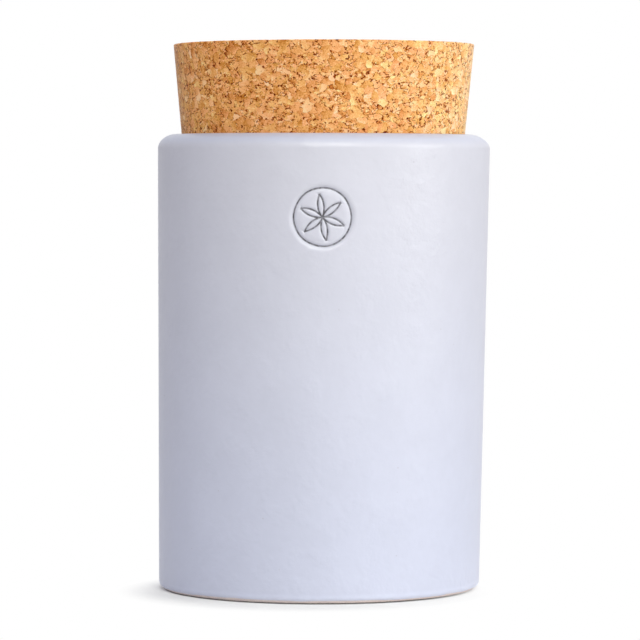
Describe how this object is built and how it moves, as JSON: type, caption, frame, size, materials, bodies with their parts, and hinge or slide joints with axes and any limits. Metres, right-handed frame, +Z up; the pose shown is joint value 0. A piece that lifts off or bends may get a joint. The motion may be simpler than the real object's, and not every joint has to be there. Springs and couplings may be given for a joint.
{
  "type": "ceramic canister with cork lid",
  "caption": "Round glazed stoneware food canister with a slightly tapered wall, a rolled lip and a foot ring, closed by a wide tapered plug of pressed cork that lifts straight out.",
  "frame": {"origin": "centre of the foot, on the surface that the canister stands on", "axes": "+Z up along the axis that both pieces are turned about, +X to the right and -Y towards the front in the picture"},
  "size_m": [0.105, 0.105, 0.1719],
  "materials": {
    "glaze": "satin",
    "cork": "matte"
  },
  "bodies": {
    "canister": {"canister_body": "glaze"},
    "lid": {"cork_lid": "cork"}
  },
  "joints": [
    {"name": "lid_lift", "type": "slide", "parent": "canister", "child": "lid", "axis": [0, 0, 1], "range_m": [0, 0.12]}
  ]
}
